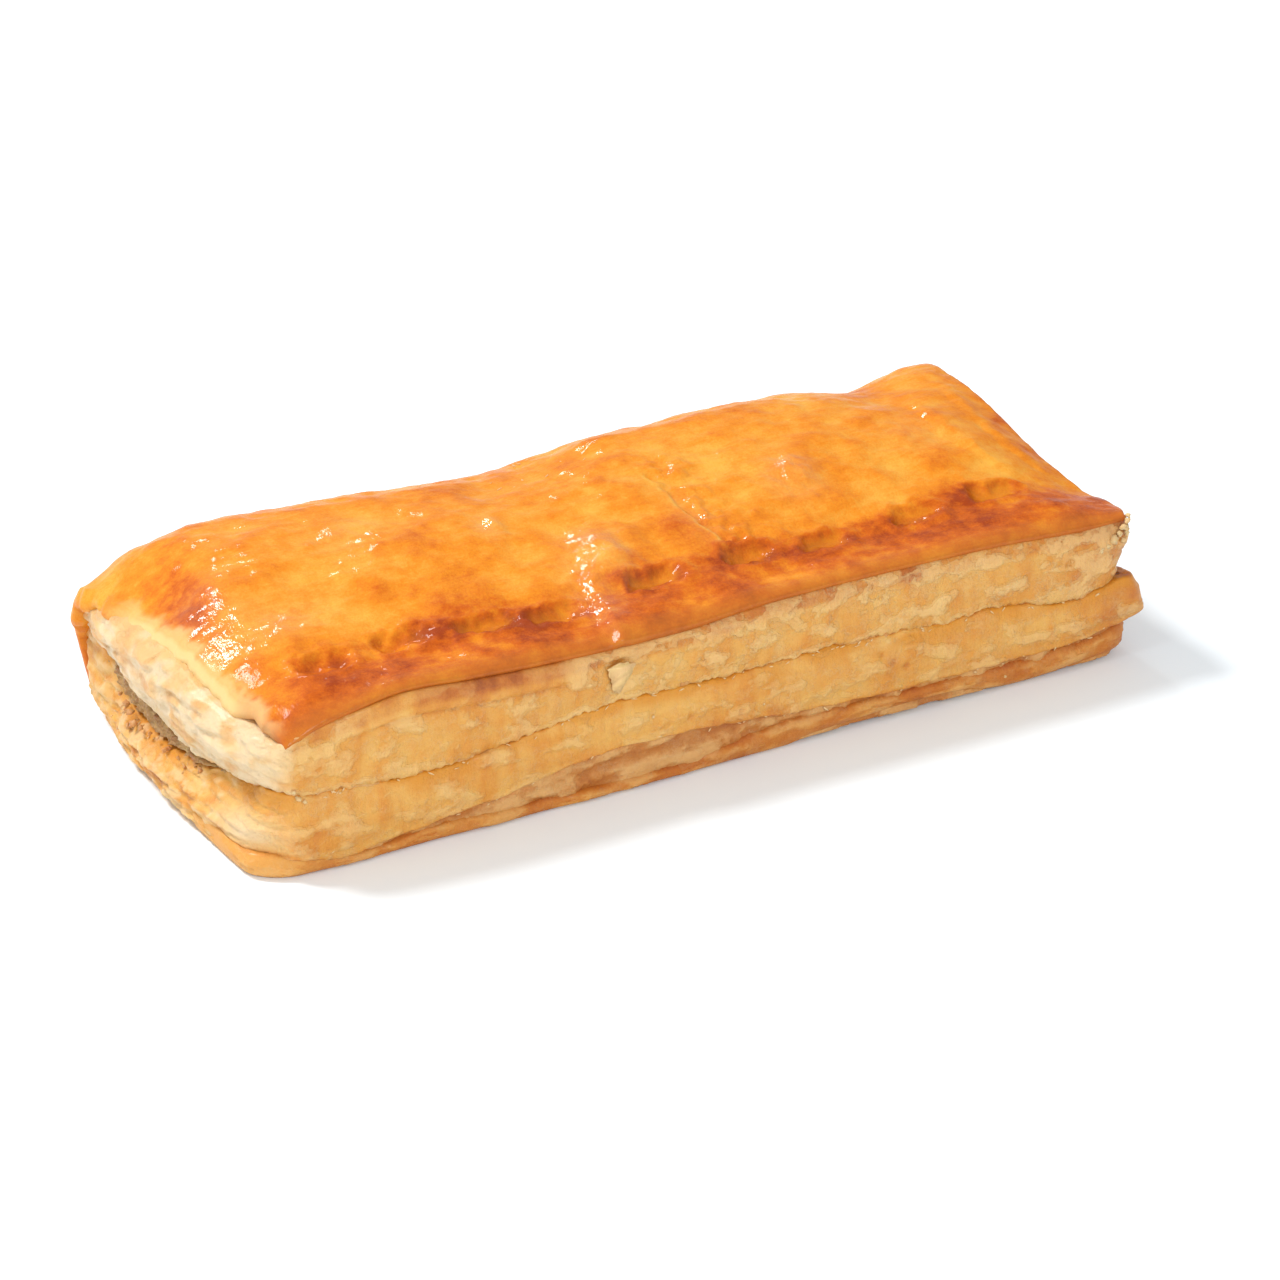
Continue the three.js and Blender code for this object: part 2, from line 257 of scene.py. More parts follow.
def band(tree, value, low, high, to_low=0, to_high=1):
    """A value mapped from low..high onto to_low..to_high, and held there."""
    limits = {0: value, 1: low, 2: high, 3: to_low, 4: to_high}
    return add_node(tree, "MapRange", limits).outputs[0]


def weighted(tree, parts):
    """The sum of (socket, weight) pairs."""
    shares = [calc(tree, "MULTIPLY", value, weight) for value, weight in parts]
    total = shares[0]
    for share in shares[1:]:
        total = calc(tree, "ADD", total, share)
    return total


def cloud(tree, where, scale, detail, roughness):
    inputs = {"Vector": where, "Scale": scale, "Detail": detail, "Roughness": roughness}
    return add_node(tree, "TexNoise", inputs)


def speckle(tree, where, scale, detail=4, roughness=0.6):
    return cloud(tree, where, scale, detail, roughness).outputs[0]


def stretched(tree, where, scale):
    """Places drawn out along the axes whose scale is small."""
    return add_node(tree, "Mapping", {"Vector": where, "Scale": scale}).outputs[0]


def object_places(tree):
    return add_node(tree, "TexCoord").outputs["Object"]


COLOUR = "NodeSocketColor"
NUMBER = "NodeSocketFloat"
SHADES = ("Pale", "Gold", "Brown", "Dark")


def new_group(name, inputs, outputs):
    """A shader node group with named sockets. Returns it with what it is given and gives."""
    group = bpy.data.node_groups.new(name, "ShaderNodeTree")
    for socket, kind in inputs.items():
        group.interface.new_socket(socket, in_out="INPUT", socket_type=kind)
    for socket, kind in outputs.items():
        group.interface.new_socket(socket, in_out="OUTPUT", socket_type=kind)
    given, result = group.nodes.new("NodeGroupInput"), group.nodes.new("NodeGroupOutput")
    return group, given.outputs, result.inputs


def make_oven_colour():
    """Pale dough through gold to brown, by how baked a place is, with an uneven mottle."""
    group, given, result = new_group(
        "oven_colour",
        dict.fromkeys(SHADES, COLOUR) | {"Baked": NUMBER, "Mottle": NUMBER},
        {"Color": COLOUR},
    )
    where = object_places(group)
    uneven = weighted(group, [
        (speckle(group, where, 95), 0.35),
        (speckle(group, where, 480, 5, 0.7), 0.25),
        (speckle(group, where, 2000, 3, 0.7), 0.25),
        (speckle(group, stretched(group, where, (0.2, 1, 1)), 900, 3), 0.15),
    ])
    shift = calc(group, "MULTIPLY", calc(group, "SUBTRACT", uneven, 0.5), given["Mottle"])
    baked = calc(group, "ADD", given["Baked"], shift)
    browned = given["Pale"]
    for shade, start, end in (("Gold", 0, 0.35), ("Brown", 0.35, 0.7), ("Dark", 0.7, 1)):
        browned = mixed(group, band(group, baked, start, end), browned, given[shade])
    group.links.new(browned, result["Color"])
    return group


def make_flaky_grain():
    """Fine dry crumb: short upright streaks and small pits, as a height from 0 to 1."""
    group, given, result = new_group(
        "flaky_grain", {"Streak": NUMBER, "Crumb": NUMBER}, {"Height": NUMBER},
    )
    where = object_places(group)
    streaks = speckle(group, stretched(group, where, (1, 1, 0.22)), 900, 3)
    crumb = speckle(group, where, 1900, 4, 0.7)
    height = weighted(group, [(streaks, given["Streak"]), (crumb, given["Crumb"])])
    group.links.new(height, result["Height"])
    return group


# How many large and small scales of film there are to a metre, and how far their outlines
# are bent, in metres.
LARGE_SCALES = 260
SMALL_SCALES = 640
SCALE_BEND = 0.0065


def patchwork(tree, where, scale):
    """Irregular overlapping scales: each one's own level, 0 to 1, and the line round it."""
    inputs = {"Vector": where, "Scale": scale}
    scales = add_node(tree, "TexVoronoi", inputs)
    lines = add_node(tree, "TexVoronoi", inputs, feature="DISTANCE_TO_EDGE")
    level = add_node(tree, "SeparateColor", {0: scales.outputs["Color"]}).outputs[0]
    return level, band(tree, lines.outputs["Distance"], 0, 0.07, 1, 0)


def bent_places(tree, where):
    """Places pushed about by noise, so that straight lines between them run ragged."""
    bend = cloud(tree, where, 330, 4, 0.65).outputs["Color"]
    centred = add_node(
        tree, "VectorMath", {0: bend, 1: (0.5, 0.5, 0.5)}, operation="SUBTRACT",
    ).outputs[0]
    push = add_node(
        tree, "VectorMath", {0: centred, "Scale": SCALE_BEND}, operation="SCALE",
    ).outputs[0]
    return add_node(tree, "VectorMath", {0: where, 1: push}).outputs[0]


def make_torn_films():
    """
    Torn films from the field they follow: crisp overlapping scales where papery is high,
    soft where they still cling. Gives how many lie here, and where an edge catches light.
    """
    group, given, result = new_group(
        "torn_films", {"Torn": NUMBER, "Papery": NUMBER}, {"Laid": NUMBER, "Edge": NUMBER},
    )
    where = object_places(group)
    bent = bent_places(group, where)
    large, large_line = patchwork(group, bent, LARGE_SCALES)
    small, small_line = patchwork(group, bent, SMALL_SCALES)
    ragged = calc(group, "SUBTRACT", speckle(group, where, 1100, 4, 0.65), 0.5)
    field = weighted(group, [(given["Torn"], 1), (ragged, 0.4)])
    crisp = band(group, given["Papery"], 0.4, 0.62, 3, 30)
    steps = []
    for edge in TORN_EDGES:
        past = calc(group, "MULTIPLY", calc(group, "SUBTRACT", field, edge), crisp)
        steps.append((band(group, past, -0.1, 0.9), 0.5))
    laid = weighted(group, [(large, 0.5), (small, 0.25), (weighted(group, steps), 0.7)])
    flecks = calc(group, "SUBTRACT", speckle(group, where, 1500, 3, 0.75), 0.5)
    laid = weighted(group, [(laid, 1), (flecks, 0.8)])
    seen = band(group, speckle(group, where, 240, 2), 0.46, 0.56)
    lines = weighted(group, [(large_line, 0.8), (small_line, 0.35)])
    group.links.new(laid, result["Laid"])
    group.links.new(calc(group, "MULTIPLY", lines, seen), result["Edge"])
    return group


oven_colour = make_oven_colour()
flaky_grain = make_flaky_grain()
torn_film_edges = make_torn_films()


def oven_colours(tree, tones, mottle):
    """The colour of each place, by the mask baked, from four tones of pale to dark."""
    inputs = {shade: tone(*colour) for shade, colour in zip(SHADES, tones)}
    inputs.update({"Mottle": mottle, "Baked": mask(tree, "baked")})
    return add_node(tree, "Group", inputs, node_tree=oven_colour).outputs["Color"]


FILM_TONE = (250, 206, 136)
LIT_EDGE_TONE = (255, 230, 180)
YOLK_TONE = (232, 152, 34)
CREAM_TONE = (250, 222, 178)
GRAIN_DEPTH = 0.35 * MM


def flaky_material(name, tones, streak=0.5, crumb=0.5, roughness=0.62, mottle=1.2, glow=0.12):
    """
    Dry baked dough. The mask baked gives its colour, torn is the field that torn films
    follow and papery how much they show, and yolk and cream tint it. Glow is how much
    light passes through it.
    """
    material, tree, shader = new_material(name, {
        "Roughness": roughness, "Specular IOR Level": 0.3,
        "Coat Weight": 0.2, "Coat Roughness": 0.25,
        "Subsurface Weight": glow, "Subsurface Radius": (0.003, 0.0014, 0.0006),
        "Subsurface Scale": 0.6,
    })
    papery = mask(tree, "papery")
    inputs = {"Torn": mask(tree, "torn"), "Papery": papery}
    films = add_node(tree, "Group", inputs, node_tree=torn_film_edges).outputs
    laid = calc(tree, "MULTIPLY", band(tree, films["Laid"], 0.4, 1.1), papery)
    lit_edge = calc(tree, "MULTIPLY", films["Edge"], papery)
    dry = oven_colours(tree, tones, mottle)
    dry = mixed(tree, band(tree, laid, 0, 1), dry, tone(*FILM_TONE))
    dry = mixed(tree, calc(tree, "MULTIPLY", lit_edge, 0.3), dry, tone(*LIT_EDGE_TONE))
    dry = mixed(tree, mask(tree, "yolk"), dry, tone(*YOLK_TONE))
    dry = mixed(tree, mask(tree, "cream"), dry, tone(*CREAM_TONE))
    tree.links.new(dry, shader.inputs["Base Color"])
    inputs = {"Streak": streak, "Crumb": crumb}
    grain = add_node(tree, "Group", inputs, node_tree=flaky_grain).outputs["Height"]
    height = weighted(tree, [(grain, 1.1), (laid, 1.1), (lit_edge, 0.4)])
    inputs = {"Strength": 0.9, "Distance": GRAIN_DEPTH, "Height": height}
    relief = add_node(tree, "Bump", inputs).outputs[0]
    tree.links.new(relief, shader.inputs["Normal"])
    return material


BOTTOM_TONES = [(238, 168, 78), (214, 126, 38), (186, 90, 26), (138, 58, 18)]
BOTTOM_INSET_RIGHT = 1.8
BOTTOM_INSET_BACK = 4.4

lip_top_at_front = curve([
    (-77, 4.2), (-66, 2.2), (-50, 3.2), (-40, 2.6), (-8, 2.4), (6, 4.2), (18, 5.2), (35, 4.9),
    (60, 4.9), (75, 5.9), (84, 7.6),
])
base_left = curve([(-36, -81.2), (-30, -83.6), (-15, -84.6), (20, -84.8), (34, -83.4)])
lower_right = curve([(-35, 85.4), (-24, 84.4), (-6, 81), (12, 79.2), (34, 78.6)])
base_lift = curve([(14, 0), (24, 1.3), (44, 2.2), (56, 0.4), (66, 0.4), (76, 1.3), (86, 1.6)])


def base_top(x, y):
    return mix(lip_top_at_front(x), 4, ramp(-34, -22, y))


def base_under(x, y):
    return base_lift(x) * ramp(-29, -35, y)


def make_bottom_crust():
    rows = side_rows(count=7, tuck=4, rounding=1.6, edge_share=0.42)
    bm, points, outward, share = layer_mesh(
        rows, corner=(6.5, 6.5),
        left=lambda y, z: base_left(y), right=lambda y, z: lower_right(y) - BOTTOM_INSET_RIGHT,
        front=lambda x, z: -HALF_WIDTH, back=lambda x, z: HALF_WIDTH - BOTTOM_INSET_BACK,
        under=base_under, top=base_top,
    )
    on_side = ramp(0.04, 0.3, share)
    waves = drift(points, (9, 9, 4), 3)
    films, torn = torn_films(points, (8, 8, 2.2), 5)
    points += outward * ((0.35 * waves + 0.3 * films) * on_side)[:, None]
    points[:, 2] += 0.35 * drift(points, 5, 8) * ramp(0.3, 0.9, share)
    points[:, 2] = np.maximum(points[:, 2], 0)
    baked = 0.34 + 0.22 * ramp(0.75, 1, share) + 0.16 * ramp(0.3, 0, share) - 0.22 * films
    baked += 0.16 * drift(points, (14, 14, 6), 9)
    # Paler towards the left end: painted light, the lip's rim lit from the left.
    baked -= 0.5 * ramp(-68, -80, points[:, 0])
    masks = {"baked": baked, "torn": torn - 0.1, "papery": 0.28}
    material = flaky_material("bottom_crust", BOTTOM_TONES, streak=0.35, crumb=0.6)
    finish_piece("bottom_crust", bm, points, masks, material, "pastry")


make_bottom_crust()


# ----------------------------------------------
# Inner pastry. The dough behind and between the risen layers. It shows as a tan, filmy
# recess between the lower layer and the lip, and deep in the grooves and the cut ends.

RECESS = 1.4
FOLD_BACK = 36
FOLD_HEIGHT = 16
FOLD_BEND = 0.018
INNER_FLOOR = 0.8
# How far the dough lies in from the crust at the back, and how far under it on top.
DOUGH_INSET = 1.6
SKIN_OVER_DOUGH = 1.7
INNER_TONES = [(232, 166, 92), (208, 130, 54), (180, 98, 34), (140, 66, 20)]

crown = curve([
    (-35.6, 27.9), (-33.5, 28.9), (-29, 29.9), (-22.5, 30.1), (-14, 31.8), (-4, 33.6), (8, 34.4),
    (20, 33.9), (27, 32.1), (32, 29), (36, 24.5),
])
upper_left = curve([(-35, -77), (-28, -79.8), (-15, -82.8), (0, -84), (20, -84), (34, -82.6)])
upper_right = curve([(-35, 82.2), (-24, 80.4), (-8, 77.8), (12, 76.8), (34, 77.4)])

# Swellings of the roll: centre x, y, reach along and across, height.
SWELLINGS = [
    (-62, 12, 16, 22, 1), (-36, 2, 10, 12, 0.6), (-12, 24, 14, 16, -2.4), (30, 14, 26, 22, 1.3),
    (62, 26, 8, 18, -2.6), (73, 26, 6, 12, 0.5), (4, -26, 5, 6, 0.6), (-17, -28, 5, 6, -0.5),
]
DROOP_START = 66
droop_left = curve([(-36, 3.4), (-22, 4.6), (-6, 5.6), (10, 6.8), (26, 6.8), (36, 5)])
droop_right = curve([(-36, 0.6), (-26, 4), (-8, 5.6), (10, 3.4), (26, 1.4), (36, 0)])


def hills(x, y, rows):
    """The sum of round hills: rows of centre x, y, reach along and across, and height."""
    return sum(h * bump(np.hypot((x - sx) / rx, (y - sy) / ry), 1) for sx, sy, rx, ry, h in rows)


def swell_and_droop(x, y):
    """How much higher the roll stands than its plain crown, with its ends sinking down."""
    swell = hills(x, y, SWELLINGS) - ramp(-DROOP_START, -HALF_LENGTH, x) ** 1.6 * droop_left(y)
    return swell - ramp(DROOP_START, HALF_LENGTH, x) * droop_right(y)


def under_crust(x, y):
    """The top of the dough, close under the glazed crust."""
    return crown(y) + swell_and_droop(x, y) - SKIN_OVER_DOUGH


def fold_back(x, z):
    """How far back the dough inside the fold reaches, at a height."""
    return FOLD_BACK - FOLD_BEND * (z - FOLD_HEIGHT) ** 2 - DOUGH_INSET


def push_out(points, outward, reach):
    """Moves points outwards, but not at the back, where the crust lies close over them."""
    points += outward * (reach * ramp(0.8, 0.1, outward[:, 1]))[:, None]


def make_inner_pastry():
    rows = side_rows(count=26, tuck=3, rounding=0.6, edge_share=0.02)
    bm, points, outward, _ = layer_mesh(
        rows, corner=(2, 2),
        left=lambda y, z: upper_left(y) + RECESS + 1.2, right=lambda y, z: upper_right(y) - RECESS - 1,
        front=lambda x, z: -HALF_WIDTH + 0.5 * RECESS, back=fold_back,
        under=lambda x, y: INNER_FLOOR + 0 * x, top=lambda x, y: under_crust(x, y) - 2.5,
    )
    films, torn = torn_films(points, (7, 7, 3), 12)
    sheets = drift(points, (6, 6, 0.9), 14)
    push_out(points, outward, 0.5 * films + 0.25 * sheets - 0.2)
    masks = {"baked": 0.42 - 0.3 * films + 0.12 * sheets, "torn": torn, "papery": 0.36}
    material = flaky_material("inner_pastry", INNER_TONES, streak=0.25, roughness=0.55)
    finish_piece("inner_pastry", bm, points, masks, material, "pastry")


make_inner_pastry()


# ----------------------------------------------
# Risen layers. Two thick bands of puffed dough, one below and one above the pressed seam.
# Their edges show the torn, papery films of the dough, and at the left end the upper one
# bulges out over the meat like a pillow.

lower_under_at_front = curve([
    (-77, 4.7), (-66, 2.6), (-50, 3.8), (-38, 5.4), (-20, 8.2), (-2, 7.9), (15, 6.3), (35, 5.3),
    (60, 5.2), (75, 6.2), (84, 8.2),
])
lower_under_across = curve([(-35, 0), (-18, -2.4), (0, -3), (15, -2.4), (30, 0)])
seam_at_front = curve([
    (-77, 15.2), (-66, 13.8), (-52, 13.2), (-37, 14.7), (-20, 17), (-3, 16.6), (25, 16.9),
    (45, 15.9), (56, 16.2), (70, 13.8), (80, 15.8),
])
lower_top_across = curve([
    (-35, 0.2), (-20, -2.6), (-10, -5), (5, -6.6), (15, -6.6), (24, -4.4), (30, -2.2), (34, -1.4),
])
upper_under_across = curve([
    (-35, 0), (-20, -2.4), (-10, -3), (5, -2.5), (16, -1.5), (24, 0.2), (33, -1),
])
crust_under_at_front = curve([
    (-77, 24.1), (-66, 26.2), (-57, 27.6), (-45, 26.8), (-30, 26), (-6, 25.8), (10, 27),
    (35, 27.1), (55, 26.7), (70, 25.7), (80, 26),
])
lower_left = curve([(-35, -77.8), (-27, -82.2), (-10, -84.8), (10, -85.2), (34, -84)])

# Places (x, z) and reaches of the pits in the front of the lower layer.
PITS = [
    (-4.9, 11.1, 0.7), (4.6, 10, 0.5), (31.8, 13.2, 0.5), (34, 11.6, 0.5), (36.6, 10.1, 0.6),
]
LAYER_TONES = [(246, 186, 92), (234, 156, 58), (206, 116, 38), (164, 80, 26)]
LOWEST_GAP = 1.4


def plane_drift(x, y, size, seed, octaves):
    return drift(np.stack([x, y, 0 * x], 1), size, seed, octaves)


def seam_jitter(x, y):
    """The seam wanders a little, the same for the layer under it and the one over it."""
    return 0.5 * plane_drift(x, y, 3.6, 21, 5)


def lower_top(x, y):
    """The top of the lower layer, which closes up to the fold behind the meat's left end."""
    closing = 7.5 * ramp(16, 28, y) * ramp(-77, -81, x)
    return seam_at_front(x) + lower_top_across(y) + seam_jitter(x, y) + closing


def upper_under(x, y):
    rags = 0.6 * plane_drift(x, y, 1.3, 23, 3)
    return seam_at_front(x) + upper_under_across(y) + seam_jitter(x, y) + rags


def lower_under(x, y):
    ragged = 0.4 * plane_drift(x, y, 4, 22, 4) - 1.4 * ramp(-58, -70, x)
    return np.maximum(LOWEST_GAP, lower_under_at_front(x) + lower_under_across(y) + ragged)


def upper_top(x, y):
    sunk = 1.5 * ramp(84, 78, np.abs(x))
    inside = under_crust(x, y) - sunk + 0.6 * ramp(-77, -81, x)
    return mix(inside, crust_under_at_front(x) + 1.4, ramp(-32, -35, y))


layer_material = flaky_material("risen_layers", LAYER_TONES, streak=0.6, roughness=0.5)


def lower_end(y, z):
    """The left end of the lower layer, which slopes in over the rounded lip to the meat."""
    slope = 0.12 + 0.4 * ramp(-31, -24, y) * ramp(31, 20, y)
    return lower_left(y) + slope * np.maximum(0, z - 5)


def on_face(share):
    """1 on a layer's side, falling to 0 at its low and high edges."""
    return ramp(0, 0.08, share) * ramp(1, 0.92, share)


def rounded(share):
    """How far a layer's side swells between its edges."""
    return 0.75 * np.sin(math.pi * share) ** 0.6


def make_lower_layer():
    rows = side_rows(count=13, tuck=4.5, rounding=0.6, edge_share=0.05)
    bm, points, outward, share = layer_mesh(
        rows, corner=(1.2, 2.2),
        left=lower_end, right=lambda y, z: lower_right(y) - 0.3 * np.maximum(0, z - 9),
        front=lambda x, z: -HALF_WIDTH + 0.1, back=fold_back,
        under=lower_under, top=lower_top,
    )
    x, y, z = points.T
    films, torn = torn_films(points, (7, 7, 3.4), 31, -0.1 - 0.4 * ramp(0.5, 0.95, share))
    streaks = drift(points, (2.4, 2.4, 10), 33, 2)
    sheeted = drift(points, (16, 16, 1.8), 36, 1)
    swell = drift(points, (16, 16, 8), 34)
    pits = np.maximum.reduce([bump(np.hypot(x - px, z - pz), reach) for px, pz, reach in PITS])
    pits *= ramp(-33, -35, y)
    at_left = ramp(-76, -80, x) * ramp(-0.3, -0.8, outward[:, 0])
    sheets = drift(points, (9, 9, 0.9), 35, 2) * at_left
    # A lens of pale dough lies open at the front of the left end, with a browner rim.
    lens = bump(np.hypot((y + 28) / 7, (z - 6.8 + 0.05 * (y + 28)) / 2.4), 1) * at_left
    lens_edge = bump(np.hypot((y + 28) / 7.6, (z - 6.6) / 2.8) - 1.2, 0.16) * at_left * ramp(6, 4, z)
    crumbled = drift(points, (3.2, 3.2, 1.8), 39) * at_left * ramp(-25, -17, y)
    reach = 0.28 * films + 0.1 * streaks + 0.35 * swell - 0.5 * pits + 0.12 * sheeted
    reach += 0.7 * sheets + 0.7 * lens - 0.5 * lens_edge + 0.5 * crumbled
    reach = reach * on_face(share) + 0.25 * bump(share - 0.04, 0.06) + rounded(share) - 0.3
    push_out(points, outward, reach)
    seam_gold = ramp(0.6, 0.95, share) * ramp(-0.25, 0.25, drift(points, (9, 9, 5), 37, 2))
    # The pits are darker as well as pressed in: painted shade in them.
    baked = 0.24 + 0.1 * seam_gold - 0.1 * films + 0.2 * streaks + 0.2 * swell + 0.3 * pits
    baked += 0.2 * ramp(66, 80, x) + 0.1 * sheeted - 0.1 * at_left - 0.3 * crumbled
    # Darker along its low edge, and along the seam at its top, where the darkening is painted shade
    # under the upper layer.
    baked += 0.3 * ramp(0.08, 0, share) + 0.25 * ramp(0.97, 1, share)
    baked += 0.3 * sheets - 0.45 * lens + 0.5 * lens_edge
    masks = {
        "baked": baked, "torn": torn, "papery": mix(0.45, 0.5, ramp(-10, 20, x)),
        "yolk": 0.75 * seam_gold, "cream": 0.8 * lens + 0.4 * ramp(0.05, 0.4, crumbled),
    }
    finish_piece("lower_layer", bm, points, masks, layer_material, "pastry")


# Folds in the puffed left end: height along y, start and end y, width, depth.
PILLOW_FOLDS = [
    (curve([(-33, 26.2), (-27, 24.9), (-20, 23.6), (-10, 22.4), (8, 20.8)]), -31, -2, 0.9, 0.8),
    (curve([(-30, 22.4), (-24, 21.6), (-17, 20.6), (-10, 21.8)]), -29, -12, 0.8, 0.6),
    (curve([(-12, 21.6), (-4, 19), (6, 17.6)]), -11, 4, 0.8, 0.7),
    (curve([(-6, 23.8), (6, 22), (20, 19.4)]), -2, 18, 0.8, 0.6),
]


def make_upper_layer():
    rows = side_rows(count=13, tuck=4.5, rounding=0.35, edge_share=0.03)
    bm, points, outward, share = layer_mesh(
        rows, corner=(1.6, 5),
        left=lambda y, z: upper_left(y) + np.where(z < 18, 0.03, 0.006) * (z - 18) ** 2,
        right=lambda y, z: upper_right(y) - 0.22 * np.maximum(0, 24 - z),
        front=lambda x, z: -HALF_WIDTH + 0.2, back=fold_back,
        under=upper_under, top=upper_top,
    )
    x, y, z = points.T
    high_film = 0.3 * ramp(0.3, 0.8, share) + 0.45 * ramp(0.14, 0.03, share) - 0.12
    films, torn = torn_films(points, (6, 6, 3.4), 41, high_film)
    streaks = drift(points, (2.4, 2.4, 10), 43, 2)
    swell = drift(points, (12, 12, 7), 44)
    # A broad film hangs from the crust along the left half of the front.
    below_crust = crust_under_at_front(x) - z
    shelf = ramp(-69, -62, x) * ramp(-24, -32, x) * ramp(-33, -35, y)
    shelf_edge = bump(below_crust - 2.9 - 0.4 * swell, 0.4) * shelf
    shelf = shelf * ramp(2.9, 2.3, below_crust)
    at_left = ramp(-74, -79, x) * ramp(-0.3, -0.8, outward[:, 0])
    creases = np.zeros_like(x)
    for line, start, end, wide, deep in PILLOW_FOLDS:
        along_fold = ramp(start - 3, start + 3, y) * ramp(end + 3, end - 3, y)
        creases = np.maximum(creases, deep * bump(z - line(y) - 0.3 * swell, wide) * along_fold)
    creases = creases * at_left
    puff = (1.7 * bump(z - 22, 6) + 0.6 * drift(points, (9, 9, 5), 47, 2)) * at_left
    flaps = drift(points, (8, 6, 1.3), 48) * at_left
    reach = 0.3 * films + 0.1 * streaks + 0.4 * swell + puff + 0.6 * flaps
    reach = reach * on_face(share) - 0.8 * creases
    reach += rounded(share) - 0.4 * (1 - share) + 0.45 * shelf - 0.4 * shelf_edge
    push_out(points, outward, reach)
    patches = drift(points, (6, 6, 4), 46)
    # The folds of the pillow are darker as well as pressed in: painted shade in the creases.
    baked = 0.24 - 0.1 * films + 0.2 * streaks + 0.2 * swell - 0.2 * at_left + 0.1 * creases
    baked += 0.2 * ramp(64, 80, x) + 0.2 * at_left * ramp(0, 0.4, patches)
    # Its low edge is darker where no films lie: painted shade at the seam.
    baked += 0.12 * shelf + 0.25 * shelf_edge + 0.2 * ramp(0.1, 0, share) * (1 - films)
    baked += 0.35 * ramp(1.7, 0.3, below_crust + 0.5 * swell) * (1 - at_left)
    high = ramp(23, 27, z)
    masks = {
        "baked": baked, "torn": torn,
        "papery": mix(0.62, 0.5, ramp(-24, -38, x)) * (1 - 0.7 * shelf),
        "yolk": 0.2 * at_left * ramp(0.1, 0.4, patches + 0.4 * high),
        "cream": at_left * mix(0.9, 0.3, ramp(-0.1, 0.5, patches + 0.5 * high)),
    }
    finish_piece("upper_layer", bm, points, masks, layer_material, "pastry")


make_lower_layer()
make_upper_layer()


# ----------------------------------------------
# Meat. A flat strip of minced, seasoned meat that runs through the roll. It shows as a
# grainy grey-brown band at the cut ends, with reddish crumbs stuck along its lower edge.

MEAT_FRONT = -18
MEAT_BACK = 31
MEAT_SEAM = 15.2
# How far the strip stays inside the pastry at the left and at the right.
MEAT_INSETS = (1.2, 2.6)
# Where along the strip it has points, and how many it has across and up.
MEAT_STATIONS = [0, 1.2, 3.5, 80, 157, 159]
MEAT_POINTS = {"x_segments": 150, "y_segments": 22}
MEAT_TONES = [(250, 214, 150), (216, 172, 110), (180, 132, 78), (176, 96, 44)]


def make_meat():
    bm = bmesh.new()
    bmesh.ops.create_grid(bm, **MEAT_POINTS, size=1)
    raise_lids(bm, len(MEAT_STATIONS) - 1)
    at = places_of(bm)
    station = np.array(MEAT_STATIONS)[np.rint(at[:, 2]).astype(int)] / MEAT_STATIONS[-1]
    across, high = at[:, 0], at[:, 1]
    y = (MEAT_FRONT + MEAT_BACK) / 2 + across * (MEAT_BACK - MEAT_FRONT) / 2
    top = MEAT_SEAM + upper_under_across(y) - 0.6
    bottom = MEAT_SEAM + lower_top_across(y) + 0.4
    thickness = (top - bottom) * np.sqrt(np.maximum(0, 1 - 0.85 * across**2))
    z = (top + bottom) / 2 + high * thickness / 2
    x = mix(upper_left(y) + MEAT_INSETS[0], upper_right(y) - MEAT_INSETS[1], station)
    points = np.stack([x, y, z], 1)
    lumps = drift(points, 1.5, 51, 4)
    mince = drift(points, 0.6, 52, 2)
    end = np.where(station < 0.5, -1, 1) * (np.abs(station - 0.5) > 0.49)
    points[:, 0] += end * (0.9 * lumps + 0.35 * mince)
    masks = {"baked": 0.45 + 0.4 * lumps}
    material = flaky_material(
        "seasoned_meat", MEAT_TONES, streak=0, crumb=1, roughness=0.4, mottle=2.4,
    )
    finish_piece("meat", bm, points, masks, material, "filling")


make_meat()


# ----------------------------------------------
# Glazed crust. The outer skin of the folded sheet, brushed with egg and baked to a glossy
# orange. It runs from the pressed front edge over the crown and down the fold at the back,
# with nine slots pressed through it and browner skin round them.

SLOT_STAIN = 0.45
CRUST_ALONG = 330
CRUST_ACROSS = 200
# The rim of the skin, as (out, down) steps: plain, and rolled over the left end.
RIM_STEPS = [(0.25, 0.5), (0.36, 1.2), (0.3, 1.9), (0, 2.4), (-1.5, 2.9), (-4.5, 4.4)]
END_STEPS = [(0.3, 0.3), (0.8, 0.9), (1.3, 1.7), (1.6, 2.6), (1.2, 3.4), (-1.5, 4.2)]
SKIN = 2.4
SKIN_FLOOR = 0.2
RIM_OVER_LAYERS = 2.3
# The rings of points under the skin, by their size beside the rim.
INNER_RINGS = [0.9, 0.75, 0.6, 0.45, 0.3, 0.15, 0.04]

# The skin's path across the roll, (y, z), from the front rim to under the fold, and the
# distance along it over which its direction is taken.
CRUST_PATH = [
    (-35.6, 27.9), (-34.6, 28.6), (-33, 29.2), (-29, 29.9), (-22.5, 30.1), (-14, 31.8), (-4, 33.6),
    (8, 34.4), (20, 33.9), (27, 32.1), (31.5, 29.3), (34.6, 24.5), (35.9, 17), (35.2, 9),
    (33.4, 4.2), (31.2, 1.4),
]
PATH_STEP = 0.05

